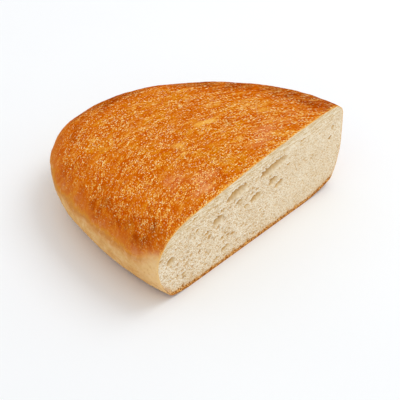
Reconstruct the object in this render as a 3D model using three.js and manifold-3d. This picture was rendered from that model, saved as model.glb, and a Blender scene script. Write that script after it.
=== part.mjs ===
// A large low hearth loaf, cut straight across, lying on its baked base.
// Millimetres, +Z up. +X runs along the cut from the loaf's low end to its high end,
// and +Y runs away from the cut face, towards the round back of the loaf.
import * as THREE from 'three';
import { mergeVertices } from 'three/addons/utils/BufferGeometryUtils.js';
import Module from 'manifold-3d';

// Driving dimensions of the whole loaf, before it was cut. Lengths are in millimetres.
const MEAN_RADIUS = 126;
const CUT_FROM_MIDDLE = 65; // the cut passes this far in front of the loaf's middle
const CROWN_HEIGHT = 69.5; // the crust over the loaf's middle

// The outline seen from above, as shares of the mean radius.
const OVAL = 0.166; // longer from front to back than it is wide
const EGG = 0.195; // slimmer towards the back
const FULL_LOW_END = 0.038; // the low end stands out further than the high end
const SKEW = 0.022; // the back leans towards the low end

// The crown, as the rise or fall over one mean radius and a share of the crown's height.
const RISE_TO_HIGH_END = 0.162;
const FALL_TO_BACK = 0.15;
const DOME = 0.088;
const ROLL_OFF = 0.051; // extra fall of the high end, past where it starts
const ROLL_OFF_FROM = 0.3;

// The side of the loaf. Each value is given at the low end, the high end and the back.
const SHOULDER_LENGTH = { low: 35, high: 12, back: 38 }; // in from the side, where the crown turns down
const SHOULDER_DROP = { low: 27, high: 12, back: 26 };
const WIDEST_HEIGHT = { low: 35, high: 46, back: 36 };
const UNDERCUT = { low: 16, high: 12, back: 14 }; // the foot stands in this far under the widest line
const FOOT_LIFT = { low: 2.5, high: 6.5, back: 4 }; // the base's rim curls up off the hearth
const FOOT_CURL = { low: 0.8, high: 0.62, back: 0.74 }; // share of the foot's radius that lies flat

// How finely the surface is divided.
const STEPS_AROUND = 104;
const BASE_STEPS = 7;
const WALL_STEPS = 7;
const SIDE_STEPS = 2;
const SHOULDER_STEPS = 8;
const CROWN_STEPS = 9;

/** Radius of the loaf's outline at an angle measured from +X, about the loaf's middle. */
function outlineRadius(angle) {
  const shape = 1 - FULL_LOW_END * Math.cos(angle) - OVAL * Math.cos(2 * angle)
    - EGG * Math.sin(angle) - SKEW * Math.sin(2 * angle);
  return MEAN_RADIUS * shape;
}

/** Height of the crown over a point, with no shoulder. */
function crownHeight(x, y) {
  const along = x / MEAN_RADIUS;
  const back = y / MEAN_RADIUS;
  const roll = Math.max(along - ROLL_OFF_FROM, 0);
  return CROWN_HEIGHT * (1 + RISE_TO_HIGH_END * along - FALL_TO_BACK * back
    - DOME * (along * along + back * back) - ROLL_OFF * roll * roll);
}

/** A side value at an angle: low at -X, high at +X, and turning into back round the back. */
function roundTheSide(value, angle) {
  const highShare = (1 + Math.cos(angle)) / 2;
  const backShare = Math.max(Math.sin(angle), 0) ** 2;
  const atEnds = THREE.MathUtils.lerp(value.low, value.high, highShare);
  return THREE.MathUtils.lerp(atEnds, value.back, backShare);
}

/** The stretches of the profile from the middle of the base up to the middle of the crown. */
const PROFILE = [
  ['base', BASE_STEPS],
  ['wall', WALL_STEPS],
  ['side', SIDE_STEPS],
  ['shoulder', SHOULDER_STEPS],
  ['crown', CROWN_STEPS],
];

/** Places on the profile: the stretch each one is on and the share of it that lies behind. */
function profilePlaces() {
  const places = [{ stretch: 'base', share: 0 }];
  for (const [stretch, steps] of PROFILE) {
    for (let step = 1; step <= steps; step += 1) {
      places.push({ stretch, share: step / steps });
    }
  }
  return places;
}

/** The point of the loaf's surface at an angle and a place on the profile. */
function surfacePoint(angle, { stretch, share }) {
  const radius = outlineRadius(angle);
  const undercut = roundTheSide(UNDERCUT, angle);
  const lift = roundTheSide(FOOT_LIFT, angle);
  const widest = roundTheSide(WIDEST_HEIGHT, angle);
  const shoulderLength = roundTheSide(SHOULDER_LENGTH, angle);
  const at = (r) => [r * Math.cos(angle), r * Math.sin(angle)];
  const edgeHeight = crownHeight(...at(radius));
  const drop = Math.min(roundTheSide(SHOULDER_DROP, angle), edgeHeight - widest - 0.5);

  if (stretch === 'base') {
    const flat = roundTheSide(FOOT_CURL, angle);
    const curl = Math.max(share - flat, 0) / (1 - flat);
    return [...at(share * (radius - undercut)), lift * curl ** 2];
  }
  if (stretch === 'wall') {
    const r = radius - undercut * (1 - share) ** 2;
    return [...at(r), lift + (widest - lift) * share];
  }
  if (stretch === 'side') {
    return [...at(radius), widest + (edgeHeight - drop - widest) * share];
  }
  if (stretch === 'shoulder') {
    const turn = share * Math.PI / 2;
    const [x, y] = at(radius - shoulderLength * (1 - Math.cos(turn)));
    return [x, y, crownHeight(x, y) - drop * (1 - Math.sin(turn))];
  }
  const [x, y] = at((radius - shoulderLength) * (1 - share));
  return [x, y, crownHeight(x, y)];
}

/** The whole loaf: a turned blank whose points are then moved out to the loaf's surface. */
function wholeLoaf() {
  const places = profilePlaces();
  const last = places.length - 1;
  const blank = places.map((_, row) => new THREE.Vector2(row === 0 || row === last ? 0 : 1, row));
  const geometry = new THREE.LatheGeometry(blank, STEPS_AROUND);
  const position = geometry.getAttribute('position');
  for (let i = 0; i < position.count; i += 1) {
    const row = Math.round(position.getY(i));
    const angle = Math.atan2(position.getX(i), position.getZ(i));
    position.setXYZ(i, ...surfacePoint(angle, places[row]));
  }
  return geometry;
}

const wasm = await Module();
wasm.setup();

/** A closed geometry as a solid, with its shared points merged. */
function toSolid(geometry) {
  const bare = geometry.clone();
  bare.deleteAttribute('normal');
  bare.deleteAttribute('uv');
  const merged = mergeVertices(bare);
  const triangles = [];
  const index = merged.getIndex();
  for (let i = 0; i < index.count; i += 3) {
    const [a, b, c] = [index.getX(i), index.getX(i + 1), index.getX(i + 2)];
    if (a !== b && b !== c && c !== a) triangles.push(a, b, c);
  }
  return new wasm.Manifold(new wasm.Mesh({
    numProp: 3,
    vertProperties: new Float32Array(merged.getAttribute('position').array),
    triVerts: new Uint32Array(triangles),
  }));
}

/** A solid as a geometry with flat shading normals. */
function toGeometry(solid) {
  const mesh = solid.getMesh();
  const geometry = new THREE.BufferGeometry();
  geometry.setAttribute('position', new THREE.BufferAttribute(mesh.vertProperties, 3));
  geometry.setIndex(new THREE.BufferAttribute(mesh.triVerts, 1));
  geometry.computeVertexNormals();
  return geometry;
}

/** Everything in front of the cut, as a box that is taken away. */
function frontOfTheCut() {
  const reach = 4 * MEAN_RADIUS;
  const box = new THREE.BoxGeometry(reach, reach, reach);
  box.translate(0, -CUT_FROM_MIDDLE - reach / 2, 0);
  return box;
}

/** The cut loaf, standing with the middle of its bounding box's floor at the origin. */
function cutLoaf() {
  const geometry = toGeometry(toSolid(wholeLoaf()).subtract(toSolid(frontOfTheCut())));
  geometry.computeBoundingBox();
  const middle = geometry.boundingBox.getCenter(new THREE.Vector3());
  geometry.translate(-middle.x, -middle.y, -geometry.boundingBox.min.z);
  const crust = new THREE.MeshStandardMaterial({ color: 0xc8762c, roughness: 0.65, metalness: 0 });
  const loaf = new THREE.Mesh(geometry, crust);
  loaf.name = 'cut_loaf';
  return loaf;
}

const bread = new THREE.Group();
bread.add(cutLoaf());

export default bread;
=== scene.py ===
"""The looks of a cut muffuletta loaf: a large low hearth loaf, cut straight across and lying on its base."""
import math

import bpy
import numpy as np
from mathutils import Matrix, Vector
from mathutils.geometry import delaunay_2d_cdt
from mathutils.kdtree import KDTree


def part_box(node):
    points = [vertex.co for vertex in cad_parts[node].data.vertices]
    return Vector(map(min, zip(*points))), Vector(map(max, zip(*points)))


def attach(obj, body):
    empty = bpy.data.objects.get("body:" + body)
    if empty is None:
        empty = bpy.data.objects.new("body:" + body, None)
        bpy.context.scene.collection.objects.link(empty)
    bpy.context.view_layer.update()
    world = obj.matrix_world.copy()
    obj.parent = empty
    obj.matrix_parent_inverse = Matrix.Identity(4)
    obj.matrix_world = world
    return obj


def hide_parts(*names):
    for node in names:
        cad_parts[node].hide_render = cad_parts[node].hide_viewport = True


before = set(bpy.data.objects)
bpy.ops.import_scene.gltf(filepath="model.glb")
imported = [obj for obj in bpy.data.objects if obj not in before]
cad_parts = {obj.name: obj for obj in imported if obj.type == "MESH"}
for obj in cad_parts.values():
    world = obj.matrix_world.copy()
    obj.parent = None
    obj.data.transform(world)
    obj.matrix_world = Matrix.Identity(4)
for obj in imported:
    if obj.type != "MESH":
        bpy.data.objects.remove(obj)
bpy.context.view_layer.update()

cut_loaf_low, cut_loaf_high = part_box("cut_loaf")


# ---- The loaf as it was baked ----
# A round hearth loaf of wheat dough, proved and baked in one piece on a flat sheet, taller at one end of
# the cut than at the other. Its crown turns down over a soft shoulder and its foot tucks in to the base.
# Metres. +X runs along the cut to the high end, and +Y runs from the cut to the round back.
MEAN_RADIUS = 0.126
CUT_FROM_MIDDLE = 0.065

# How the outline departs from a circle, as shares of its radius.
OVAL = 0.166
EGG = 0.195
FULL_LOW_END = 0.038
SKEW = 0.022

# The crown's height over the middle, and how it rises, falls and rounds off from there, as shares of it.
CROWN_HEIGHT = 0.0695
RISE_TO_HIGH_END = 0.162
FALL_TO_BACK = 0.15
DOME = 0.088
ROLL_OFF = 0.051
ROLL_OFF_FROM = 0.3

# The side's sizes at the low end of the cut, at its high end and at the back. The foot curl is the share of
# the way out at which the base starts to curl up.
SHOULDER_LENGTH = {"low": 0.035, "high": 0.012, "back": 0.038}
SHOULDER_DROP = {"low": 0.027, "high": 0.012, "back": 0.026}
WIDEST_HEIGHT = {"low": 0.035, "high": 0.046, "back": 0.036}
UNDERCUT = {"low": 0.016, "high": 0.012, "back": 0.014}
FOOT_LIFT = {"low": 0.0025, "high": 0.0065, "back": 0.004}
FOOT_CURL = {"low": 0.8, "high": 0.62, "back": 0.74}
LEAST_SIDE = 0.0005 # the upright part of the side is at least this high


def outline_radius(angle):
    """Radius of the outline seen from above, at an angle from +X about the loaf's middle."""
    shape = 1 - FULL_LOW_END * np.cos(angle) - OVAL * np.cos(2 * angle)
    return MEAN_RADIUS * (shape - EGG * np.sin(angle) - SKEW * np.sin(2 * angle))


def crown_height(x, y):
    """Height of the crown over a point, with no shoulder."""
    along, back = x / MEAN_RADIUS, y / MEAN_RADIUS
    roll = np.maximum(along - ROLL_OFF_FROM, 0)
    rise = RISE_TO_HIGH_END * along - FALL_TO_BACK * back
    return CROWN_HEIGHT * (1 + rise - DOME * (along ** 2 + back ** 2) - ROLL_OFF * roll ** 2)


def round_the_side(value, angle):
    """A side value at an angle: low at -X, high at +X, and turning into back round the back."""
    at_ends = value["low"] + (value["high"] - value["low"]) * (1 + np.cos(angle)) / 2
    return at_ends + (value["back"] - at_ends) * np.maximum(np.sin(angle), 0) ** 2


def inside_the_loaf(x, y, z):
    """Whether points are in the loaf, from the heights of its underside and its upper crust over each."""
    angle, r = np.arctan2(y, x), np.hypot(x, y)
    radius = outline_radius(angle)
    widest = round_the_side(WIDEST_HEIGHT, angle)
    edge_height = crown_height(radius * np.cos(angle), radius * np.sin(angle))
    drop = np.minimum(round_the_side(SHOULDER_DROP, angle), edge_height - widest - LEAST_SIDE)
    length = round_the_side(SHOULDER_LENGTH, angle)
    over = np.clip((r - radius + length) / length, 0, 1)
    upper = crown_height(x, y) - drop * (1 - np.sqrt(1 - over ** 2))

    undercut = round_the_side(UNDERCUT, angle)
    lift = round_the_side(FOOT_LIFT, angle)
    flat = round_the_side(FOOT_CURL, angle)
    foot = radius - undercut
    curl = np.clip((r / foot - flat) / (1 - flat), 0, 1)
    out = np.clip((r - foot) / undercut, 0, 1)
    under = np.where(r > foot, lift + (widest - lift) * (1 - np.sqrt(1 - out)), lift * curl ** 2)
    return (r < radius) & (z > under) & (z < upper)


# The crust is laid out in slices parallel to the cut. They close up towards the round back, and each is a
# ring of points that starts in the middle of the base and runs up the high end and over the crown.
SLICE_STEP = 0.00142
FIRST_SLICES = (0.0, 0.0005, 0.0012)
BACK_ROUNDING = 0.06 # the slices crowd together over this much of the loaf before its back
RING_POINTS = 284
CUT_RING_STEP = 0.00065
OUTLINE_STEPS = 8000
RAYS = 1800
RAY_FLATTENING = 0.36 # the rays fan out in an oval this flat, as a slice is itself
HALVINGS = 26 # each ray's end is found by halving its reach this often
EDGE_SOFTENING = 0.0022
LEAST_GIRTH = 60 # a small slice is softened by no more than its girth over this
BASE_FACING = (-0.97, -0.6) # a slice's base turns into its side as it faces up from the first to the second
BASE_SHARE = 0.2 # the base's points are this dense beside the crust's
FOOT_REACH = 24 # the crust's close points go on for this many steps under the base, to keep the foot even

outline_angles = np.linspace(-math.pi, math.pi, OUTLINE_STEPS + 1)
outline_x = outline_radius(outline_angles) * np.cos(outline_angles)
outline_y = outline_radius(outline_angles) * np.sin(outline_angles)
behind_cut = outline_x[outline_y > -CUT_FROM_MIDDLE]
loaf_middle_x = (behind_cut.min() + behind_cut.max()) / 2
tip = int(np.argmax(outline_y))
back_x, back_y = outline_x[tip], outline_y[tip]
back_height = round_the_side(WIDEST_HEIGHT, outline_angles[tip]) + LEAST_SIDE / 2


def slice_depths():
    """How far behind the cut each slice lies: evenly spaced over the crown, and closer round the back."""
    whole = back_y + CUT_FROM_MIDDLE
    run = whole + BACK_ROUNDING / 2
    left = np.linspace(run, 0, round(run / SLICE_STEP) + 1)
    from_back = np.where(left < BACK_ROUNDING, left ** 2 / (2 * BACK_ROUNDING), left - BACK_ROUNDING / 2)
    depths = whole - from_back
    clear = depths > FIRST_SLICES[-1] + SLICE_STEP / 2
    return np.concatenate([FIRST_SLICES, depths[clear][:-1]])


def slice_ring(depth, middle):
    """The outline of one slice, as evenly turned rays from its middle that stop at the crust."""
    turn = np.linspace(0, 2 * math.pi, RAYS, endpoint=False)
    dx, dz = np.sin(turn), -np.cos(turn) * RAY_FLATTENING
    near, far = np.zeros(RAYS), np.full(RAYS, 2 * MEAN_RADIUS)
    y = np.full(RAYS, depth - CUT_FROM_MIDDLE)
    for _ in range(HALVINGS):
        half = (near + far) / 2
        inside = inside_the_loaf(middle[0] + half * dx, y, middle[1] + half * dz)
        near, far = np.where(inside, half, near), np.where(inside, far, half)
    return np.column_stack([middle[0] + near * dx, middle[1] + near * dz])


def ring_lengths(ring):
    """The distance from each point of a ring to the next."""
    return np.hypot(*(np.roll(ring, -1, axis=0) - ring).T)


def resample(ring, count, density):
    """A ring with another number of points, spaced by density, from the same first point."""
    lengths = ring_lengths(ring) * (density + np.roll(density, -1)) / 2
    along = np.concatenate([[0], np.cumsum(lengths)])
    wanted = np.linspace(0, along[-1], count, endpoint=False)
    closed = np.vstack([ring, ring[:1]])
    return np.column_stack([np.interp(wanted, along, closed[:, axis]) for axis in (0, 1)])


def soften(ring, reach):
    """A ring with its corners rounded over a reach, as the sharp foot of the loaf is in the real crust."""
    even = resample(ring, RAYS, np.ones(len(ring)))
    girth = ring_lengths(even).sum()
    waves = np.fft.fftfreq(RAYS, girth / RAYS) * 2 * math.pi
    spectrum = np.fft.fft(even[:, 0] + 1j * even[:, 1])
    smooth = np.fft.ifft(spectrum * np.exp(-(waves * min(reach, girth / LEAST_GIRTH)) ** 2 / 2))
    return np.column_stack([smooth.real, smooth.imag])


def facing_up(ring):
    """How far a ring's outward side faces up, from -1 on the base to 1 on the crown."""
    run = np.roll(ring, -1, axis=0) - np.roll(ring, 1, axis=0)
    return -run[:, 0] / np.maximum(np.hypot(*run.T), 1e-9)


def smoothstep(value, low, high):
    """How far a value has come from low to high, from 0 to 1 and eased at both ends."""
    share = np.clip((value - low) / (high - low), 0, 1)
    return share * share * (3 - 2 * share)


def slice_middle(depth):
    """A point well inside a slice, on a line from the cut's middle to the tip of the back."""
    share = depth / (back_y + CUT_FROM_MIDDLE)
    x = loaf_middle_x * (1 - share) + back_x * share
    return x, cut_loaf_high.z / 2 * (1 - share) + back_height * share


depths = slice_depths()
rings = []
for depth in depths:
    ring = soften(slice_ring(depth, slice_middle(depth)), EDGE_SOFTENING)
    if depth == 0:
        steps = round(ring_lengths(ring).sum() / CUT_RING_STEP)
        cut_ring = resample(ring, steps, np.ones(RAYS))
        continue
    density = BASE_SHARE + (1 - BASE_SHARE) * smoothstep(facing_up(ring), *BASE_FACING)
    density = np.max([np.roll(density, step) for step in range(-FOOT_REACH, FOOT_REACH + 1)], axis=0)
    rings.append(resample(ring, RING_POINTS, density))


def in_place(points, depth):
    """Points of a slice as places in the loaf's own frame, where the cut plane and the floor lie."""
    x = points[:, 0] - loaf_middle_x
    return np.column_stack([x, np.full(len(x), cut_loaf_low.y + depth), points[:, 1]])


def turned_out(along):
    """The outward side of a ring, from the way it runs."""
    out = np.column_stack([along[:, 1], np.zeros(len(along)), -along[:, 0]])
    return out / np.linalg.norm(out, axis=1, keepdims=True)


crust_points = np.array([in_place(ring, depth) for ring, depth in zip(rings, depths[1:])])
around_ring = np.roll(crust_points, -1, axis=1) - np.roll(crust_points, 1, axis=1)
to_the_back = np.gradient(crust_points, axis=0)
crust_out = np.cross(to_the_back, around_ring)
crust_out /= np.linalg.norm(crust_out, axis=2, keepdims=True)
cut_ring_points = in_place(cut_ring, 0)
cut_ring_out = turned_out(np.roll(cut_ring, -1, axis=0) - np.roll(cut_ring, 1, axis=0))
back_point = np.array([[back_x - loaf_middle_x, cut_loaf_high.y, back_height]])


# ---- The cut face ----
# The soft open crumb that the knife laid bare, from the thin upper crust down to the baked base. Its points
# follow the crust's edge in a few close rows and then lie in an even, slightly shaken honeycomb.
EDGE_ROWS = (0.00035, 0.0008, 0.00132)
HONEYCOMB_STEP = 0.00061
HONEYCOMB_FROM_EDGE = 0.0017
SHAKE = 0.16
INSIDE_THE_BORDER = 1
SAME_POINT = 1e-7

shaker = np.random.default_rng(7)


def honeycomb(low, high, step):
    """Evenly spread points over a rectangle, each shaken a little off its place."""
    columns = np.arange(low[0], high[0], step)
    rows = np.arange(low[1], high[1], step * math.sqrt(3) / 2)
    x, z = np.meshgrid(columns, rows)
    x[1::2] += step / 2
    points = np.column_stack([x.ravel(), z.ravel()])
    return points + shaker.uniform(-SHAKE, SHAKE, points.shape) * step


def distance_to(tree, points):
    """The distance of each point to the nearest in a tree, and which that is."""
    found = [tree.find((x, z, 0)) for x, z in points]
    return np.array([near[2] for near in found]), np.array([near[1] for near in found])


edge_tree = KDTree(len(cut_ring))
for index, (x, z) in enumerate(cut_ring):
    edge_tree.insert((x, z, 0), index)
edge_tree.balance()

inward = -cut_ring_out[:, [0, 2]]
face_points = [cut_ring + inward * row for row in EDGE_ROWS]
grid = honeycomb(cut_ring.min(0), cut_ring.max(0), HONEYCOMB_STEP)
grid_distance, grid_nearest = distance_to(edge_tree, grid)
behind_edge = ((grid - cut_ring[grid_nearest]) * inward[grid_nearest]).sum(1) > 0
face_points.append(grid[behind_edge & (grid_distance > HONEYCOMB_FROM_EDGE)])
flat_points = np.vstack([cut_ring] + face_points)
edge_distance, nearest_edge = distance_to(edge_tree, flat_points)

flat_input = [Vector(point) for point in flat_points]
border = [list(range(len(cut_ring)))]
filled = delaunay_2d_cdt(flat_input, [], border, INSIDE_THE_BORDER, SAME_POINT)
face_triangles, face_sources = filled[2:4]
face_triangles = [[face_sources[corner][0] for corner in triangle] for triangle in face_triangles]


def bridge(first, second):
    """Triangles between two rings with different numbers of points, advancing whichever lags behind."""
    shares = []
    for ring in (first, second):
        run = np.concatenate([[0], np.cumsum(ring_lengths(ring))])
        shares.append(run / run[-1])
    triangles, i, j = [], 0, 0
    while i < len(first) or j < len(second):
        here, there = i % len(first), len(first) + j % len(second)
        if j == len(second) or (i < len(first) and shares[0][i + 1] <= shares[1][j + 1]):
            triangles.append((here, there, (i + 1) % len(first)))
            i += 1
        else:
            triangles.append((here, there, len(first) + (j + 1) % len(second)))
            j += 1
    return triangles


# ---- The loaf's surface in one piece ----
# Crust, base and crumb are one skin with no gaps: the cut face shares the points of the crust's edge, and
# the slices close in one point at the tip of the back.
ring_count, ring_size = crust_points.shape[:2]
first_crust = len(cut_ring)
back_index = first_crust + ring_count * ring_size
first_crumb = back_index + 1
places = np.vstack([cut_ring_points, crust_points.reshape(-1, 3), back_point,
                    in_place(flat_points[first_crust:], 0)])

# The way that the crust's relief moves each point, and where that relief is read. Close behind its edge the
# crumb moves with the crust.
CRUMB_FOLLOWS = 0.012
follows = 1 - smoothstep(edge_distance[first_crust:], 0, CRUMB_FOLLOWS)
nearest_ring_point = nearest_edge[first_crust:]
outs = np.vstack([cut_ring_out, crust_out.reshape(-1, 3), [[0, 1, 0]],
                  cut_ring_out[nearest_ring_point] * follows[:, None]])
relief_places = np.vstack([places[:first_crumb], cut_ring_points[nearest_ring_point]])

crust_faces = bridge(cut_ring, rings[0])
for row in range(ring_count - 1):
    start = first_crust + row * ring_size
    for step in range(ring_size):
        here, ahead = start + step, start + (step + 1) % ring_size
        crust_faces.append((here, here + ring_size, ahead + ring_size, ahead))
last_ring = back_index - ring_size
for step in range(ring_size):
    crust_faces.append((last_ring + step, back_index, last_ring + (step + 1) % ring_size))
crumb_faces = [tuple(corner if corner < first_crust else corner + first_crumb - first_crust
                     for corner in triangle) for triangle in face_triangles]

loaf_mesh = bpy.data.meshes.new("loaf")
loaf_mesh.from_pydata(places.tolist(), [], crust_faces + crumb_faces)
loaf_mesh.update()


def keep_on_points(name, values):
    """Stores one number or one vector for each point of the loaf."""
    kind, field = ("FLOAT_VECTOR", "vector") if values.ndim == 2 else ("FLOAT", "value")
    attribute = loaf_mesh.attributes.new(name, kind, "POINT")
    attribute.data.foreach_set(field, values.astype(np.float32).ravel())


keep_on_points("out", outs)
keep_on_points("relief_place", relief_places)

def keep_on_crumb(name, values):
    """Stores one number for each point inside the cut face, and 0 for the rest of the loaf."""
    on_all = np.zeros(len(places))
    on_all[first_crumb:] = values
    keep_on_points(name, on_all)


# How far each point of the cut face lies from the edge, and whether that edge is baked base or crown.
EDGE_FACES_DOWN = (0.3, 0.8)
EDGE_FACES_UP = (0.2, 0.7)
base_edge = smoothstep(-facing_up(cut_ring), *EDGE_FACES_DOWN)
crown_edge = smoothstep(facing_up(cut_ring), *EDGE_FACES_UP)
keep_on_crumb("from_edge", edge_distance[first_crust:])
keep_on_crumb("by_the_base", base_edge[nearest_ring_point])
keep_on_crumb("under_the_crown", crown_edge[nearest_ring_point])
cut_through = np.ones(len(places))
cut_through[first_crust:first_crumb] = 0
keep_on_points("crumb", cut_through)

# Where the oven and the baker's hands marked the crown: golden where it was drawn thin, rosy where it is
# dull with flour, deep where it browned most, and creased in one place. Each is (along the cut, back from
# the loaf's middle, length, width) in millimetres, its turn in degrees, and its strength.
MILLIMETRE = 0.001
MARK_WANDER = 0.0016 # a mark's edge wanders by this much
WANDER_ALONG = 0.0037 # over these lengths
WANDER_BACK = 0.0031
MARK_REACH = 1.15 # a mark ends at this share of its size
MARK_FADE = 0.8
CROWN_MARKS = {
    "golden": [
        (-17.5, -30.0, 32.0, 12.0, 84, 1.0),
        (21.5, -24.5, 24.0, 10.0, -14, 1.0),
        (46.0, -12.0, 9.0, 8.0, 30, 0.8),
        (-64.0, -42.0, 10.0, 7.0, 35, 0.7),
        (62.0, -50.0, 26.0, 14.0, 25, 0.5),
    ],
    "rosy": [
        (-41.0, -75.0, 38.0, 24.0, 20, 1.0),
        (42.0, -73.0, 66.0, 22.0, 8, 0.8),
        (-52.0, -56.0, 34.0, 14.0, 30, 0.5),
    ],
    "deep": [
        (34.0, -37.0, 24.0, 12.0, 32, 0.9),
        (-22.5, -77.0, 30.0, 7.0, 84, 1.0),
        (4.0, -66.0, 18.0, 9.0, 40, 0.7),
        (72.0, -30.0, 30.0, 14.0, -50, 0.5),
    ],
    "creased": [
        (-93.0, -74.5, 17.0, 2.6, 42, 1.0),
        (-84.0, -62.0, 12.0, 2.2, 60, 0.5),
    ],
}


def mark_strength(points, mark):
    """How strongly a mark shows at each point, from 1 in its middle to 0 at its ragged edge."""
    middle_x, middle_y, length, width = np.array(mark[:4]) * MILLIMETRE
    turn, strength = math.radians(mark[4]), mark[5]
    wander_x = np.sin(points[:, 1] / WANDER_BACK + middle_x / MILLIMETRE)
    wander_y = np.sin(points[:, 0] / WANDER_ALONG + middle_y / MILLIMETRE)
    x = points[:, 0] - middle_x + MARK_WANDER * wander_x
    y = points[:, 1] - middle_y + MARK_WANDER * wander_y
    along = (x * math.cos(turn) + y * math.sin(turn)) / (length / 2)
    across = (y * math.cos(turn) - x * math.sin(turn)) / (width / 2)
    return strength * smoothstep(MARK_REACH - np.hypot(along, across), 0, MARK_FADE)


on_top = np.zeros(len(places))
on_top[:first_crumb] = 1
for mark_name, marks in CROWN_MARKS.items():
    marked = np.max([mark_strength(places, mark) for mark in marks], axis=0) * on_top
    keep_on_points(mark_name, marked)

# The rim of the crown is darker round the back, partly browner and partly painted shade where it turns
# away. The rim is a share of the way out from the loaf's middle, and the darkening turns with the cosine of
# the angle to it.
DARKEST_FROM = math.radians(25)
DARK_RIM = (0.64, 0.84)
DARK_SIDE = (-0.6, 0.8)
from_middle_x = places[:, 0] + loaf_middle_x
from_middle_y = places[:, 1] - cut_loaf_low.y - CUT_FROM_MIDDLE
place_angle = np.arctan2(from_middle_y, from_middle_x)
out_share = np.hypot(from_middle_x, from_middle_y) / outline_radius(place_angle)
dark_back_rim = smoothstep(out_share, *DARK_RIM) * smoothstep(np.cos(place_angle - DARKEST_FROM), *DARK_SIDE)
keep_on_points("dark_back_rim", dark_back_rim * on_top)

# Which part of the skin each face is: 0 for crust, 1 for base and 2 for crumb.
CRUST, BASE, CRUMB = 0, 1, 2
FACES_THE_SHEET = -0.8 # the base is where the skin faces down by more than this
skin = loaf_mesh.attributes.new("skin", "INT", "FACE")
facing = np.empty(len(loaf_mesh.polygons) * 3, np.float32)
loaf_mesh.polygons.foreach_get("normal", facing)
skins = np.where(facing.reshape(-1, 3)[:, 2] < FACES_THE_SHEET, BASE, CRUST)
skins[len(crust_faces):] = CRUMB
skin.data.foreach_set("value", skins.astype(np.int32))
sharp = loaf_mesh.attributes.new("sharp_edge", "BOOLEAN", "EDGE")
ends = np.empty(len(loaf_mesh.edges) * 2, np.int32)
loaf_mesh.edges.foreach_get("vertices", ends)
ends = np.sort(ends.reshape(-1, 2), axis=1)
round_the_cut = (ends[:, 1] < first_crust) & np.isin(ends[:, 1] - ends[:, 0], (1, first_crust - 1))
sharp.data.foreach_set("value", round_the_cut)

# The large bubbles that the knife opened, as (along the cut, up, length, height, depth) in millimetres.
# They lie along the crumb, deepest under a torn upper lip, and run out to nothing at their lower side.
OPEN_BUBBLES = [
    (24.0, 58.6, 36.0, 9.0, 6.5),
    (23.0, 45.4, 13.0, 7.0, 4.5),
    (30.0, 39.0, 12.0, 5.4, 3.6),
    (41.4, 51.6, 6.0, 3.0, 1.2),
    (-20.5, 57.2, 27.0, 9.6, 6.4),
    (-18.0, 47.6, 10.5, 5.4, 3.8),
    (1.5, 41.0, 14.0, 8.0, 3.2),
    (-10.5, 38.9, 5.0, 3.8, 1.6),
    (6.7, 25.4, 6.0, 2.8, 1.2),
    (-37.4, 50.6, 7.0, 3.4, 1.8),
    (-43.2, 43.4, 12.4, 8.4, 6.0),
    (-60.5, 40.0, 3.2, 3.4, 2.6),
    (-55.0, 38.4, 5.6, 5.2, 2.2),
    (-66.9, 47.6, 5.0, 2.8, 1.2),
    (-33.9, 31.2, 3.6, 3.4, 2.2),
    (-38.4, 24.0, 5.0, 3.6, 2.2),
    (-34.0, 12.8, 10.0, 4.2, 2.6),
    (-95.0, 35.6, 9.6, 7.6, 4.6),
    (-81.1, 28.4, 3.8, 3.4, 2.4),
    (-81.2, 15.8, 6.0, 3.6, 2.0),
    (-87.8, 18.0, 4.0, 3.0, 1.8),
    (-95.5, 18.3, 3.8, 2.6, 1.6),
    (-90.1, 43.6, 4.6, 2.6, 1.4),
    (98.1, 58.5, 3.6, 7.0, 1.8),
    (95.1, 48.8, 3.2, 5.4, 1.4),
    (58.1, 65.6, 8.5, 3.0, 1.4),
    (-44.3, 8.4, 10.0, 2.8, 1.6),
    (-68.3, 59.8, 9.0, 2.8, 1.4),
]
CRUMB_TILT = math.radians(4.8)
LIP_WOBBLE = 0.0009
LIP_WOBBLE_ALONG = 0.0021 # a bubble's edge wobbles over these lengths
LIP_WOBBLE_UP = 0.0016
LIP_WIDTH = 0.0011
LIP_LEAN = math.radians(24) # how far a bubble's deep lip is turned from straight up to the low end
LIP_EDGE = 0.0005 # a bubble's edge is this sharp
LIP_WALL = 0.0013 # and this steep under its lip
LEAST_LIP = 0.05 # keeps the lip from closing up at a bubble's ends


def wobble(x, z, reach, phase):
    """A smooth unevenness between -1 and 1 over a reach, from two waves that bend each other."""
    a = np.sin(x / reach * 2.1 + 1.7 * np.sin(z / reach * 1.3 + phase) + phase)
    b = np.sin(z / reach * 2.6 + 1.4 * np.sin(x / reach * 1.9 - phase) + 2 * phase)
    return (a + b) / 2


def bubble_shape(x, z, bubble, phase):
    """How deep an opened bubble goes at points of the cut face, if they are in it, and how near its lip."""
    middle_x, middle_z, length, height, depth = np.array(bubble) * MILLIMETRE
    x = x + LIP_WOBBLE * wobble(x, z, LIP_WOBBLE_ALONG, phase) - middle_x
    z = z + LIP_WOBBLE * wobble(z, x, LIP_WOBBLE_UP, phase + 1) - middle_z
    along = (x * math.cos(CRUMB_TILT) + z * math.sin(CRUMB_TILT)) / (length / 2)
    across = (z * math.cos(CRUMB_TILT) - x * math.sin(CRUMB_TILT)) / (height / 2)
    from_side = (1 - np.hypot(along, across)) * height / 2
    to_lip = across * math.cos(LIP_LEAN) - along * math.sin(LIP_LEAN)
    beside = across * math.sin(LIP_LEAN) + along * math.cos(LIP_LEAN)
    lip_here = np.sqrt(np.clip(1 - beside ** 2, LEAST_LIP, 1))
    rise = np.clip((to_lip / lip_here + 1) / 2, 0, 1)
    inside = np.clip(from_side / LIP_EDGE, 0, 1)
    return depth * rise * np.clip(from_side / LIP_WALL, 0, 1), inside, rise * (from_side > -LIP_WALL)


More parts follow.
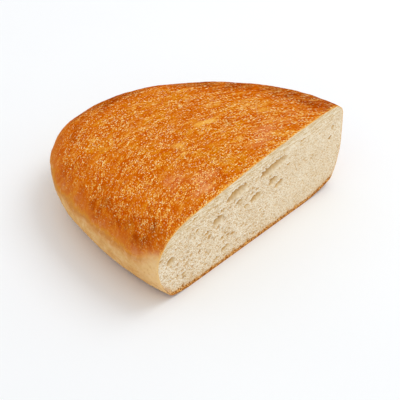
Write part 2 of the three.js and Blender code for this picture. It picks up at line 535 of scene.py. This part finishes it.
face_x, face_z = places[first_crumb:, 0], places[first_crumb:, 2]
opened, cup, lip, shade = (np.zeros(len(face_x)) for _ in range(4))
for order, bubble in enumerate(OPEN_BUBBLES):
    depth, inside, rise = bubble_shape(face_x, face_z, bubble, order)
    inside_below = bubble_shape(face_x + LIP_WIDTH / 2, face_z - LIP_WIDTH, bubble, order)[1]
    opened = np.maximum(opened, depth)
    cup = np.maximum(cup, inside)
    shade = np.maximum(shade, rise)
    lip = np.maximum(lip, inside_below)
# The cup, the nearness to the lip and the lip's edge lay the crumb's painted shade and painted highlight.
keep_on_crumb("opened", opened)
keep_on_crumb("cup", cup)
keep_on_crumb("shade", shade)
keep_on_crumb("lip", lip * (1 - cup))


def put_in_scene(name, data):
    """A new object in the scene."""
    thing = bpy.data.objects.new(name, data)
    bpy.context.scene.collection.objects.link(thing)
    return thing


loaf = put_in_scene("loaf", loaf_mesh)
loaf_mesh.shade_smooth()


# ---- The crumb's fine bubbles ----
# Proved dough is a foam. The knife opens bubbles from pinpricks to a few millimetres, stretched along the
# loaf, each a shallow cup in the cut face. They are finer just under the crown and sparser at the edges.
def add(tree, kind, inputs=None, **settings):
    """A node with its settings and its inputs: a socket is linked, and any other value is set."""
    node = tree.nodes.new(kind)
    for name, value in settings.items():
        setattr(node, name, value)
    for name, value in (inputs or {}).items():
        if isinstance(value, bpy.types.NodeSocket):
            tree.links.new(value, node.inputs[name])
        else:
            node.inputs[name].default_value = value
    return node


def reckon(operation, *values):
    """The result of a Math node, in the tree that its first linked value comes from."""
    tree = next(value.id_data for value in values if isinstance(value, bpy.types.NodeSocket))
    return add(tree, "ShaderNodeMath", dict(enumerate(values)), operation=operation).outputs[0]


def plus(first, second):
    """The sum of two values."""
    return reckon("ADD", first, second)


def less(first, second):
    """The first value less the second."""
    return reckon("SUBTRACT", first, second)


def times(first, *others):
    """The product of some values, from left to right."""
    for value in others:
        first = reckon("MULTIPLY", first, value)
    return first


def times_plus(value, factor, addend):
    """A value times a factor, plus another."""
    return reckon("MULTIPLY_ADD", value, factor, addend)


def reckon_vector(operation, vector, other):
    """The result of a Vector Math node, whose other value is a vector or a scale."""
    inputs = {0: vector, "Scale" if operation == "SCALE" else 1: other}
    return add(vector.id_data, "ShaderNodeVectorMath", inputs, operation=operation).outputs[0]


def step_between(value, low, high, start=0.0, end=1.0):
    """A value eased from start to end as it goes from low to high."""
    inputs = {"Value": value, "From Min": low, "From Max": high, "To Min": start, "To Max": end}
    node = add(value.id_data, "ShaderNodeMapRange", inputs, interpolation_type="SMOOTHSTEP", clamp=True)
    return node.outputs["Result"]


def split(vector):
    """The X, Y and Z of a vector or a colour."""
    return add(vector.id_data, "ShaderNodeSeparateXYZ", {"Vector": vector}).outputs


def named(tree, name, kind="FLOAT"):
    """A value kept on the loaf's points or faces."""
    return add(tree, "GeometryNodeInputNamedAttribute", {"Name": name}, data_type=kind).outputs["Attribute"]


def shape_tree(name, sizes):
    """A new Geometry Nodes tree with its sizes as named inputs, its first node and its last."""
    tree = bpy.data.node_groups.new(name, "GeometryNodeTree")
    tree.interface.new_socket("Geometry", in_out="INPUT", socket_type="NodeSocketGeometry")
    for size_name, value in sizes.items():
        socket = tree.interface.new_socket(size_name, in_out="INPUT", socket_type="NodeSocketFloat")
        socket.default_value = value
    tree.interface.new_socket("Geometry", in_out="OUTPUT", socket_type="NodeSocketGeometry")
    return tree, tree.nodes.new("NodeGroupInput"), tree.nodes.new("NodeGroupOutput")


def use_tree(owner, tree, sizes):
    """Adds a tree to an object and sets its named sizes by their identifiers."""
    modifier = owner.modifiers.new(tree.name, "NODES")
    modifier.node_group = tree
    for item in tree.interface.items_tree:
        if item.in_out == "INPUT" and item.name in sizes:
            modifier[item.identifier] = sizes[item.name]


crumb_sizes = {
    "Bubble length": 0.0052,
    "Bubble depth": 0.0019,
    "Pore length": 0.0034,
    "Pore depth": 0.0009,
    "Pinprick length": 0.0018,
    "Pinprick depth": 0.0004,
    "Flattening": 1.7,
    "Tilt": CRUMB_TILT,
    "Unevenness": 0.0016,
}
DRIFTS_PER_METRE = 260.0 # how closely the rows of bubbles wander
PATCHES_PER_METRE = 42.0 # how closely patches of looser and tighter foam follow each other
UNDER_CROWN = (0.005, 0.012) # the tight band under the crown ends between these depths
HIGH_END = (-0.07, 0.05) # the foam tightens towards the high end between these places along the cut
FROM_THE_RIM = (0.0002, 0.0026) # fine bubbles grow to their full depth between these depths from the edge
OPENED_FROM_THE_RIM = (0.0004, 0.003) # and the large opened ones between these
CELL_SHAKE = 0.95 # how unevenly the bubbles lie
CUP_ROUNDNESS = 0.6 # a bubble's section is a dome to this power
LEAST_DEPTH = 0.45 # a bubble is at least this share of its crop's depth
DEPTH_SPREAD = 0.7 # and by chance up to this much more

tree, start, end = shape_tree("crumb bubbles", crumb_sizes)
size = start.outputs
position = add(tree, "GeometryNodeInputPosition").outputs[0]
turned = add(tree, "ShaderNodeVectorRotate", {"Vector": position, "Angle": size["Tilt"]},
             rotation_type="Y_AXIS").outputs[0]
stretch = add(tree, "ShaderNodeCombineXYZ", {"X": 1.0, "Y": 1.0, "Z": size["Flattening"]}).outputs[0]
stretched = reckon_vector("MULTIPLY", turned, stretch)
drift = add(tree, "ShaderNodeTexNoise", {"Vector": stretched, "Scale": DRIFTS_PER_METRE, "Detail": 2.0})
drift = reckon_vector("SUBTRACT", drift.outputs["Color"], (0.5, 0.5, 0.5))
foam = reckon_vector("ADD", stretched, reckon_vector("SCALE", drift, size["Unevenness"]))


def bubbles(length, depth, smallest, largest, seed):
    """Depth of one crop of bubbles: one to a cell, of uneven radius and depth, and a cup in section."""
    shifted = reckon_vector("ADD", foam, (seed, seed, seed))
    cells = add(tree, "ShaderNodeTexVoronoi",
                {"Vector": shifted, "Scale": reckon("DIVIDE", 1.0, length), "Randomness": CELL_SHAKE})
    chance = split(cells.outputs["Color"])
    radius = step_between(chance["X"], 0.0, 1.0, smallest, largest)
    share = reckon("DIVIDE", cells.outputs["Distance"], radius)
    cup = less(1.0, reckon("POWER", share, 2.0))
    cup = reckon("POWER", reckon("MAXIMUM", cup, 0.0), CUP_ROUNDNESS)
    return times(cup, times_plus(chance["Y"], DEPTH_SPREAD, LEAST_DEPTH), depth)


wide = bubbles(size["Bubble length"], size["Bubble depth"], -0.5, 0.5, 0.31)
pores = bubbles(size["Pore length"], size["Pore depth"], -0.4, 0.55, 0.77)
pinpricks = bubbles(size["Pinprick length"], size["Pinprick depth"], 0.1, 0.6, 0.13)

edge = named(tree, "from_edge")
band = times(named(tree, "under_the_crown"), step_between(edge, *UNDER_CROWN, 1.0, 0.0))
open_share = less(1.0, times(band, 0.65))
patches = add(tree, "ShaderNodeTexNoise", {"Vector": stretched, "Scale": PATCHES_PER_METRE, "Detail": 1.0})
loose = step_between(patches.outputs["Fac"], 0.35, 0.65, 0.45, 1.15)
denser = step_between(split(position)["X"], *HIGH_END, 1.0, 0.5)
wide = times(wide, times(open_share, times(loose, denser)))
pores = times(pores, times_plus(open_share, 0.6, 0.4), denser)
fine = plus(reckon("MAXIMUM", wide, pores), pinpricks)
outside_opened = step_between(named(tree, "cup"), 0.1, 0.9, 1.0, 0.05)
fine = times(fine, outside_opened, step_between(edge, *FROM_THE_RIM))
opened_depth = times(named(tree, "opened"), step_between(edge, *OPENED_FROM_THE_RIM))
whole_depth = plus(fine, opened_depth)

pushed = add(tree, "ShaderNodeCombineXYZ", {"Y": whole_depth}).outputs[0]
kept_depth = add(tree, "GeometryNodeStoreNamedAttribute",
                 {"Geometry": size["Geometry"], "Name": "bubble", "Value": whole_depth},
                 data_type="FLOAT", domain="POINT")
moved = add(tree, "GeometryNodeSetPosition", {"Geometry": kept_depth.outputs[0], "Offset": pushed})
whole = add(tree, "GeometryNodeRealizeInstances", {"Geometry": moved.outputs[0]})
tree.links.new(whole.outputs[0], end.inputs[0])
use_tree(loaf, tree, crumb_sizes)


# ---- The crust's skin ----
# The crust dries while the dough still swells under it, so it is left with soft dents, drawn folds across
# the crown and a close net of tiny blisters. The base is flattened by the sheet that it was baked on.
DRAWN_SLANT = 0.25 # how far the folds lean back along the crown
DRAWN_BEND = 4.5 # and how much more they bend back for each metre along it


def drawn_out(place, stretch):
    """A place to read a noise at, so that its patches are drawn out along the crown and bend round it."""
    parts = split(place)
    slope = times_plus(parts["X"], DRAWN_BEND, DRAWN_SLANT)
    across = times_plus(parts["X"], slope, parts["Y"])
    along = times(parts["X"], stretch)
    joined = add(place.id_data, "ShaderNodeCombineXYZ", {"X": along, "Y": across, "Z": parts["Z"]})
    return joined.outputs[0]


crust_sizes = {
    "Dent size": 0.045,
    "Dent depth": 0.0026,
    "Fold width": 0.0095,
    "Fold stretch": 0.42,
    "Fold depth": 0.0016,
    "Blister size": 0.0042,
    "Blister height": 0.0007,
    "Crease depth": 0.0012,
    "Cut edge grain": 0.0019,
    "Cut edge roughness": 0.00035,
}
TURNED_FROM_SHEET = (-0.95, -0.3) # the skin is free of the sheet as it faces up from the first to the second

tree, start, end = shape_tree("crust skin", crust_sizes)
size = start.outputs
position = named(tree, "relief_place", "FLOAT_VECTOR")
out = named(tree, "out", "FLOAT_VECTOR")


def noise(vector, size_of_one, detail=2.0, roughness=0.5, distortion=0.0):
    """A noise from 0 to 1 whose patches have a size in metres, as a number or as one of a tree's sizes."""
    linked = isinstance(size_of_one, bpy.types.NodeSocket)
    scale = reckon("DIVIDE", 1.0, size_of_one) if linked else 1 / size_of_one
    inputs = {"Vector": vector, "Scale": scale, "Detail": detail, "Roughness": roughness,
              "Distortion": distortion}
    return add(vector.id_data, "ShaderNodeTexNoise", inputs).outputs["Fac"]


def humps(place, size_of_one, height, detail=2.0, roughness=0.5):
    """How far the skin is raised or sunk by humps and hollows of a size and a height."""
    return times(less(noise(place, size_of_one, detail, roughness), 0.5), height)


dents = humps(position, size["Dent size"], size["Dent depth"], 1.0)
folds = humps(drawn_out(position, size["Fold stretch"]), size["Fold width"], size["Fold depth"])
blisters = humps(position, size["Blister size"], size["Blister height"], 3.0, 0.6)
relief = plus(plus(dents, folds), blisters)
relief = times_plus(named(tree, "creased"), times(size["Crease depth"], -1.0), relief)
relief = times(relief, step_between(split(out)["Z"], *TURNED_FROM_SHEET, 0.15, 1.0))
torn = humps(position, size["Cut edge grain"], size["Cut edge roughness"], 2.0, 0.7)
at_cut = times(named(tree, "crumb"), torn)
raised = reckon_vector("SCALE", out, plus(relief, at_cut))
moved = add(tree, "GeometryNodeSetPosition", {"Geometry": size["Geometry"], "Offset": raised})
now = split(add(tree, "GeometryNodeInputPosition").outputs[0])
on_sheet = add(tree, "ShaderNodeCombineXYZ", {"X": now["X"], "Y": now["Y"],
                                              "Z": reckon("MAXIMUM", now["Z"], 0.0)})
pressed = add(tree, "GeometryNodeSetPosition",
              {"Geometry": moved.outputs[0], "Position": on_sheet.outputs[0]})
whole = add(tree, "GeometryNodeRealizeInstances", {"Geometry": pressed.outputs[0]})


# ---- The crust's colour ----
# The crust browns with its height: pale and floury by the base, with a painted sheen low on the side,
# deep orange brown over the shoulder, partly as painted shade, and golden over the crown, where a net of
# blisters has stayed lighter than the skin between them and carries painted glints.
def colour(red, green, blue):
    """A display colour from 0 to 255 as the linear colour that a shader takes."""
    return tuple(np.power(np.array([red, green, blue]) / 255, 2.2)) + (1.0,)


# The sockets of a Mix node that blend colours.
FACTOR, FIRST_COLOUR, SECOND_COLOUR, MIXED_COLOUR = 0, 6, 7, 2


def finish(name, roughness, specular):
    """A new material, its tree, its main shader and the place on the piece that it is read at."""
    material = bpy.data.materials.new(name)
    material.use_nodes = True
    shader = material.node_tree.nodes["Principled BSDF"]
    shader.inputs["Roughness"].default_value = roughness
    shader.inputs["Specular IOR Level"].default_value = specular
    here = add(material.node_tree, "ShaderNodeTexCoord").outputs["Object"]
    return material, material.node_tree, shader, here


def blend(share, first, second):
    """A colour part of the way from the first to the second."""
    inputs = {FACTOR: share, FIRST_COLOUR: first, SECOND_COLOUR: second}
    return add(share.id_data, "ShaderNodeMix", inputs, data_type="RGBA").outputs[MIXED_COLOUR]


def coats(under, *layers):
    """A colour with others laid over it in turn, each given as how much it covers and what it is."""
    for share, over in layers:
        under = blend(share, under, over)
    return under


def kept(tree, name):
    """A value that the loaf's points carry."""
    return add(tree, "ShaderNodeAttribute", attribute_name=name).outputs["Fac"]


def ramp(share, stops):
    """A colour looked up along a run of display colours, given as (place, (red, green, blue))."""
    node = add(share.id_data, "ShaderNodeValToRGB", {"Fac": share})
    elements = node.color_ramp.elements
    while len(elements) < len(stops):
        elements.new(0.5)
    for element, (place, value) in zip(elements, stops):
        element.position, element.color = place, colour(*value)
    return node.outputs["Color"]


def bump(shader, height, distance, strength):
    """Fine relief on a shader."""
    tree = height.id_data
    node = add(tree, "ShaderNodeBump", {"Height": height, "Distance": distance, "Strength": strength})
    tree.links.new(node.outputs["Normal"], shader.inputs["Normal"])


# The crust's colours by how much it is baked, and those of the marks and the net over them, with the painted
# sheen, glints and crease shade among them.
BAKE_COLOURS = [
    (0.0, (226, 180, 116)),
    (0.14, (214, 150, 86)),
    (0.25, (196, 122, 54)),
    (0.37, (214, 130, 16)),
    (0.5, (207, 104, 0)),
    (0.68, (196, 90, 0)),
    (1.0, (146, 56, 0)),
]
PALE_BY_CUT = colour(248, 212, 154)
# Flour dust and painted sheen on the low side.
DUST_AND_SHEEN_SIDE = colour(214, 168, 112)
FLOUR_RUB = colour(238, 204, 158)
BROWN_RUB = colour(196, 132, 68)
BROWN_FOOT = colour(210, 148, 70)
GOLDEN_MARK = colour(242, 184, 84)
ROSY_MARK = colour(236, 162, 110)
TAN_FOLD = colour(229, 145, 44)
DARK_DIP = colour(190, 78, 0)
GOLD_BLISTER = colour(232, 154, 40)
PALE_BLISTER = colour(243, 206, 136)
# Painted highlights: pale glints on the blisters.
PAINTED_GLINT = colour(248, 230, 170)
DARK_FLECK = colour(180, 68, 0)
CUT_RIM_LOW = colour(242, 204, 142)
CUT_RIM_HIGH = colour(246, 184, 84)
# Painted shade in the crease.
CREASE_SHADE = colour(164, 74, 0)

# The sizes of its patches, and the heights on the side and the distances back from the cut that it changes
# between.
BROAD_PATCH = 0.03
ROSY_PATCH = 0.012
QUIET_PATCH = 0.011
RUB_PATCH = 0.0075
CLUSTER = 0.0065
TAN_PATCH = 0.006
STREAK_WIDTH = 0.0034
STREAK_STRETCH = 0.28
COARSE_BLISTER = 0.0015
FINE_BLISTER = 0.00084
GLINT_SPACING = 0.00098
DARK_FLECK_SPACING = 0.0014
FLECK_STRETCH = 0.65
SIDE_TO_CROWN = (0.034, 0.058)
MOTTLED_FROM = (0.038, 0.06)
DUST_AND_SHEEN_TO = (0.038, 0.057)
BLISTERED_FROM = (0.046, 0.062)
LOW_PALE_TO = (0.05, 0.062)
CUT_PALE_TO = (0.045, 0.0515)
FOOT_TO = (0.004, 0.014)
LOW_END = (-0.03, -0.09) # from the middle of the cut towards its low end
SIDE_WANDER = 0.01 # every height on the side wanders by this much
CUT_RISE = 0.006 # the paleness rises by this much at the cut
RISES_WITHIN = (0.0, 0.02)
LESS_BAKED_WITHIN = (0.004, 0.02)
PALER_WITHIN = (0.002, 0.024)
RIM_WANDER = 0.012 # the light rim's own edge wanders by this much with the blisters
RIM_WITHIN = (-0.006, -0.0036)
BLISTER_RELIEF = 0.001

crust, tree, shader, here = finish("baked crust", roughness=0.6, specular=0.0)
up = split(add(tree, "ShaderNodeTexCoord").outputs["Normal"])["Z"]
along_cut, back_and_forth, height = split(here)
from_cut = less(back_and_forth, cut_loaf_low.y)
drawn = drawn_out(here, crust_sizes["Fold stretch"])
patches = noise(here, BROAD_PATCH)
clusters = noise(here, CLUSTER, 2.0, 0.6)
streaks = noise(drawn_out(here, STREAK_STRETCH), STREAK_WIDTH, 3.0, 0.6, 0.3)

# Pale up to the middle of the side, and up to the shoulder close to the cut.
uneven_height = times_plus(patches, SIDE_WANDER, height)
side_height = less(uneven_height, step_between(from_cut, *RISES_WITHIN, CUT_RISE, 0.0))
upper_side = step_between(side_height, *SIDE_TO_CROWN)
low_end = step_between(along_cut, *LOW_END)

# How much it is baked: more over the shoulder, round the dark back rim and in the deep marks, and mottled.
# Over the shoulder and the back rim part of that darkening is painted shade, where the crust turns away.
shoulder = times(step_between(up, 0.55, 0.97, 1.0, 0.0), upper_side)
bake = times(upper_side, 0.46)
bake = times_plus(shoulder, 0.28, bake)
bake = times_plus(times(kept(tree, "dark_back_rim"), upper_side), 0.42, bake)
bake = times_plus(kept(tree, "deep"), 0.3, bake)
mottling = times_plus(patches, 0.7, -0.32)
mottling = plus(mottling, times_plus(clusters, 0.65, -0.305))
mottling = plus(mottling, times_plus(streaks, -0.5, 0.25))
bake = times_plus(mottling, step_between(side_height, *MOTTLED_FROM, 0.3, 1.0), bake)
bake = times_plus(times(low_end, upper_side), 0.14, bake)
low_by_cut = times(step_between(from_cut, *LESS_BAKED_WITHIN, 0.2, 0.0),
                   step_between(side_height, *LOW_PALE_TO, 1.0, 0.0))
baked = ramp(less(bake, low_by_cut), BAKE_COLOURS)

# The side low down: paler by the cut, dusty with flour and a painted sheen, rubbed in places and browner at
# the foot.
by_low_cut = times(step_between(from_cut, *PALER_WITHIN, 0.75, 0.0),
                   step_between(side_height, *CUT_PALE_TO, 1.0, 0.0))
rubbed = noise(here, RUB_PATCH, 4.0, 0.7, 0.4)
floury = less(1.0, upper_side)
baked = coats(
    baked,
    (by_low_cut, PALE_BY_CUT),
    (step_between(side_height, *DUST_AND_SHEEN_TO, 0.28, 0.0), DUST_AND_SHEEN_SIDE),
    (times(step_between(rubbed, 0.5, 0.62, 0.0, 0.35), floury), FLOUR_RUB),
    (times(step_between(rubbed, 0.5, 0.38, 0.0, 0.35), floury), BROWN_RUB),
    (step_between(height, *FOOT_TO, 0.3, 0.0), BROWN_FOOT),
)

# The golden and rosy marks of the crown, and the tan of its drawn folds.
golden = times(kept(tree, "golden"), step_between(streaks, 0.4, 0.55, 0.3, 1.0))
rosy = step_between(noise(here, ROSY_PATCH, 2.0, 0.6), 0.4, 0.6, 0.15, 1.0)
rosy = times(rosy, kept(tree, "rosy"), upper_side)
tan = step_between(noise(drawn, TAN_PATCH, 3.0, 0.65, 0.3), 0.48, 0.64, 0.0, 0.4)
baked = coats(
    baked,
    (times(golden, 0.9), GOLDEN_MARK),
    (times(rosy, 0.8), ROSY_MARK),
    (times(tan, upper_side), TAN_FOLD),
)

# A net of fine blisters, with dark dips between them. It is livelier on the crown than on the side, the dark
# back rim and the golden marks, and quiet in patches.
fine = noise(drawn_out(here, 0.6), FINE_BLISTER, 1.0, 0.6)
coarse = noise(drawn_out(here, 0.5), COARSE_BLISTER, 2.0, 0.6, 0.2)
grain = times_plus(coarse, 0.28, times(fine, 0.72))
crowding = times_plus(clusters, 0.14, times(streaks, 0.36))
crowded = less(plus(grain, crowding), 0.25)
quiet = step_between(noise(drawn, QUIET_PATCH), 0.42, 0.56, 0.45, 1.0)
lively = times(step_between(up, 0.7, 0.96, 0.55, 1.0),
               step_between(side_height, *BLISTERED_FROM, 0.2, 1.0),
               step_between(kept(tree, "dark_back_rim"), 0.0, 1.0, 1.0, 0.5), quiet,
               step_between(golden, 0.0, 1.0, 1.0, 0.45))
baked = coats(
    baked,
    (times(step_between(crowded, 0.51, 0.44), times(lively, 0.85)), DARK_DIP),
    (times(step_between(crowded, 0.51, 0.57), times(lively, 0.75)), GOLD_BLISTER),
    (times(step_between(crowded, 0.56, 0.64), times(lively, 0.6)), PALE_BLISTER),
)

# The thin light rim that the knife left along the cut, and painted shade in the crease by the low end.
ragged_from_cut = times_plus(grain, -RIM_WANDER, from_cut)
cut_rim = step_between(ragged_from_cut, *RIM_WITHIN, 0.7, 0.0)
baked = coats(
    baked,
    (cut_rim, blend(upper_side, CUT_RIM_LOW, CUT_RIM_HIGH)),
    (times(kept(tree, "creased"), 0.4), CREASE_SHADE),
)


def flecks(vector, spacing, least, most, strength):
    """Small sparse spots over the crust, one to a cell, each of its own size and strength."""
    cells = add(vector.id_data, "ShaderNodeTexVoronoi", {"Vector": vector, "Scale": 1 / spacing})
    chance = split(cells.outputs["Color"])
    radius = step_between(chance["X"], 0.0, 1.0, least, most)
    spot = step_between(less(radius, cells.outputs["Distance"]), 0.0, 0.1)
    return times(spot, times(chance["Y"], strength))


# Painted highlights as pale glints where the blisters crowd, fewer at the low end, and small dark flecks
# anywhere.
painted_glints = flecks(drawn_out(here, FLECK_STRETCH), GLINT_SPACING, -0.35, 0.5, 3.4)
painted_glints = times(painted_glints, step_between(crowded, 0.42, 0.56, 0.4, 1.0),
                    step_between(low_end, 0.0, 1.0, 1.0, 0.65))
elsewhere = reckon_vector("ADD", here, (0.02, 0.03, 0.05))
dark_flecks = flecks(elsewhere, DARK_FLECK_SPACING, -0.3, 0.36, 1.3)
baked = coats(baked, (times(painted_glints, lively), PAINTED_GLINT), (times(dark_flecks, lively), DARK_FLECK))
tree.links.new(baked, shader.inputs["Base Color"])
bump(shader, grain, BLISTER_RELIEF, strength=0.3)


# ---- The base's colour ----
# The base lay on a hot metal sheet, so it is flat, toasted in uneven brown patches, and as dull and finely
# rough as the sheet left it.
TOAST_COLOURS = [
    (0.25, (150, 92, 40)),
    (0.5, (190, 128, 62)),
    (0.75, (222, 176, 112)),
]
TOAST_PATCH = 0.012
BASE_GRAIN = 0.0018
BASE_RELIEF = 0.0006

base, tree, shader, here = finish("baked base", roughness=0.8, specular=0.2)
toasted = ramp(noise(here, TOAST_PATCH, 4.0, 0.65), TOAST_COLOURS)
tree.links.new(toasted, shader.inputs["Base Color"])
bump(shader, noise(here, BASE_GRAIN, 3.0, 0.6), BASE_RELIEF, strength=0.5)


# ---- The crumb's colour ----
# Cream white crumb, torn by the knife into light and dark grain. Its bubbles carry painted shade inside,
# the opened ones with a painted highlight on their lip, its layers show under the crown, and it is browned
# along its edge and toasted into a thin sole at the base.
SOFT_CRUMB = colour(239, 221, 188)
SOFT_CRUMB_SHADE = colour(232, 210, 173)
LIGHT_GRAIN = colour(255, 248, 234)
DARK_GRAIN = colour(190, 138, 62)
# Painted shade inside the fine bubbles.
BUBBLE_SHADE = colour(208, 160, 88)
CROWN_BAND = colour(220, 196, 154)
DARK_LAYER = colour(208, 172, 112)
LIGHT_LAYER = colour(252, 240, 214)
# A painted highlight along the upper lip of the opened bubbles.
LIP_HIGHLIGHT = colour(253, 244, 224)
BROWNED_EDGE = colour(236, 180, 96)
TOASTED_CRUMB = colour(214, 164, 92)
UNDER_SOLE = colour(142, 74, 16)
# Painted shade in the opened bubbles, from their lower side to darkest under the lip.
OPENED_SHADE_COLOURS = [
    (0.0, (244, 230, 202)),
    (0.2, (228, 204, 164)),
    (0.45, (210, 170, 112)),
    (0.7, (188, 140, 70)),
    (0.95, (164, 110, 36)),
]
SOLE_COLOURS = [
    (0.36, (120, 62, 12)),
    (0.5, (204, 128, 50)),
    (0.64, (240, 192, 118)),
]
CLOUD_SIZE = 0.014
CRUMBLE_SIZE = 0.0028
LAYER_THICKNESS = 0.0014
SOLE_GRAIN = 0.0011
CRUMB_GRAIN = 0.0009
CRUMB_RELIEF = 0.0006
GRAINY_FROM = (0.07, -0.01) # the grain grows stronger from the first to the second place along the cut

# How far in from the edge of the cut each part of the crumb ends, and how much that wanders.
CROWN_BAND_TO = (0.002, 0.011)
LAYERED_TO = (0.004, 0.03)
BROWNED_TO = (-0.0012, 0.0002)
TOASTED_TO = (0.0, 0.008)
SOLE_TO = (-0.0002, 0.001)
UNDER_SOLE_TO = (-0.003, -0.0016)
EDGE_WANDER = 0.002
SOLE_WANDER = 0.004
# The fine bubbles' painted shade grows with their depth between these.
BUBBLE_DARK_FROM = (0.0002, 0.0016) # a fine bubble darkens with its depth between these

crumb, tree, shader, here = finish("crumb", roughness=0.85, specular=0.12)


def drawn_along(scale):
    """A place to read a noise at, so that its patches are drawn out along the tilted crumb."""
    return add(tree, "ShaderNodeMapping", {"Vector": here, "Rotation": (0, CRUMB_TILT, 0),
                                           "Scale": scale}).outputs[0]


# Cream in soft clouds, with light and dark grain where no large bubble was opened, and painted shade in
# the fine bubbles by their depth.
clouds = noise(here, CLOUD_SIZE)
soft = blend(step_between(clouds, 0.35, 0.65), SOFT_CRUMB, SOFT_CRUMB_SHADE)
grain = noise(drawn_along((0.62, 1.0, 1.25)), CRUMB_GRAIN, 1.0)
cup = kept(tree, "cup")
grain_share = times(step_between(split(here)["X"], *GRAINY_FROM, 0.7, 1.0),
                    step_between(cup, 0.1, 0.9, 1.0, 0.0))
fine_depth = less(kept(tree, "bubble"), kept(tree, "opened"))
soft = coats(
    soft,
    (times(step_between(grain, 0.5, 0.62, 0.0, 0.65), grain_share), LIGHT_GRAIN),
    (times(step_between(grain, 0.48, 0.34, 0.0, 0.75), grain_share), DARK_GRAIN),
    (times(step_between(fine_depth, *BUBBLE_DARK_FROM), 0.9), BUBBLE_SHADE),
)

# The greyer band and the drawn layers under the crown.
edge = kept(tree, "from_edge")
under_crown = kept(tree, "under_the_crown")
layers = noise(drawn_along((0.14, 1.0, 1.0)), LAYER_THICKNESS, 2.0, 0.6)
layered_zone = times(under_crown, step_between(edge, *LAYERED_TO, 1.0, 0.15))
soft = coats(
    soft,
    (times(under_crown, step_between(edge, *CROWN_BAND_TO, 0.45, 0.0)), CROWN_BAND),
    (times(step_between(layers, 0.5, 0.38, 0.0, 0.6), layered_zone), DARK_LAYER),
    (times(step_between(layers, 0.5, 0.62, 0.0, 0.6), layered_zone), LIGHT_LAYER),
)

# Painted shade in the large opened bubbles, darkest under their upper lip, and a painted highlight along
# the lip.
soft = coats(
    soft,
    (times(cup, 0.96), ramp(kept(tree, "shade"), OPENED_SHADE_COLOURS)),
    (step_between(kept(tree, "lip"), 0.1, 0.7, 0.0, 0.8), LIP_HIGHLIGHT),
)

# The browned edge all round, and the toasted sole along the base.
rough_edge = times_plus(grain, -EDGE_WANDER, edge)
sole_edge = times_plus(noise(here, CRUMBLE_SIZE, 2.0, 0.6), -SOLE_WANDER, rough_edge)
sole_colour = ramp(noise(here, SOLE_GRAIN, 1.0, 0.6), SOLE_COLOURS)
near_base = kept(tree, "by_the_base")
soft = coats(
    soft,
    (step_between(rough_edge, *BROWNED_TO, 0.9, 0.0), BROWNED_EDGE),
    (times(near_base, step_between(rough_edge, *TOASTED_TO, 0.4, 0.0)), TOASTED_CRUMB),
    (times(near_base, step_between(sole_edge, *SOLE_TO, 1.0, 0.0)), sole_colour),
    (times(near_base, step_between(sole_edge, *UNDER_SOLE_TO, 0.75, 0.0)), UNDER_SOLE),
)
tree.links.new(soft, shader.inputs["Base Color"])
bump(shader, grain, CRUMB_RELIEF, strength=0.5)


# ---- The finished loaf ----
# Each part of the skin takes its own material, and the shaped skin is made one plain mesh, which takes the
# place of the smooth loaf.
tree = bpy.data.node_groups["crust skin"]
set_all = whole
for material, number in ((crust, CRUST), (base, BASE), (crumb, CRUMB)):
    chosen = add(tree, "FunctionNodeCompare", {2: named(tree, "skin", "INT"), 3: number},
                 data_type="INT", operation="EQUAL")
    set_all = add(tree, "GeometryNodeSetMaterial", {"Geometry": set_all.outputs[0], "Material": material,
                                                    "Selection": chosen.outputs[0]})
tree.links.new(set_all.outputs[0], end.inputs[0])
use_tree(loaf, tree, crust_sizes)

bpy.context.view_layer.update()
evaluated = loaf.evaluated_get(bpy.context.evaluated_depsgraph_get())
baked_mesh = bpy.data.meshes.new_from_object(evaluated)
loaf.modifiers.clear()
loaf.data = baked_mesh
baked_mesh.name = "loaf"
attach(loaf, "root")
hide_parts("cut_loaf")


# ---- The table, the light and the camera ----
# A plain pale table top, soft light from a large window high on the far right, and a long lens that looks
# down on the low end of the cut.
bpy.context.scene.view_settings.view_transform = "Standard"

TABLE_SIZE = 8.0
TABLE_PATCH = 0.2
table_mesh = bpy.data.meshes.new("table_top")
half = TABLE_SIZE / 2
table_corners = [(-half, -half, 0), (half, -half, 0), (half, half, 0), (-half, half, 0)]
table_mesh.from_pydata(table_corners, [], [(0, 1, 2, 3)])
table = put_in_scene("table_top", table_mesh)
table_top, tree, shader, here = finish("table top", roughness=0.6, specular=0.2)
pale = blend(noise(here, TABLE_PATCH), colour(241, 243, 245), colour(245, 247, 249))
tree.links.new(pale, shader.inputs["Base Color"])
table_mesh.materials.append(table_top)

ROOM_LIGHT = 0.85
world = bpy.data.worlds.new("room")
bpy.context.scene.world = world
world.use_nodes = True
room = world.node_tree.nodes["Background"]
room.inputs["Color"].default_value = (1.0, 1.0, 1.0, 1.0)
room.inputs["Strength"].default_value = ROOM_LIGHT


def aim(thing, place, target):
    """Puts a light or a camera at a place, looking at a target."""
    thing.location = place
    thing.rotation_euler = (Vector(target) - Vector(place)).to_track_quat("-Z", "Y").to_euler()


WINDOW_PLACE = (1.15, -0.4, 1.75)
WINDOW_WIDTH = 1.3
WINDOW_POWER = 14.5
window_light = bpy.data.lights.new("window", "AREA")
window_light.size, window_light.energy = WINDOW_WIDTH, WINDOW_POWER
window = put_in_scene("window", window_light)
aim(window, WINDOW_PLACE, (0, 0, cut_loaf_high.z / 2))

CAMERA_TURN = math.radians(-48.24)
CAMERA_TILT = math.radians(36.67)
CAMERA_DISTANCE = 1.0026
CAMERA_LENS = 113.65
CAMERA_TARGET = Vector((-0.0131, -0.0485, 0.024))
camera_data = bpy.data.cameras.new("camera")
camera_data.lens = CAMERA_LENS
camera = put_in_scene("camera", camera_data)
level = math.cos(CAMERA_TILT)
back = Vector((math.sin(CAMERA_TURN) * level, -math.cos(CAMERA_TURN) * level, math.sin(CAMERA_TILT)))
aim(camera, CAMERA_TARGET + back * CAMERA_DISTANCE, CAMERA_TARGET)
bpy.context.scene.camera = camera

bpy.context.view_layer.update()
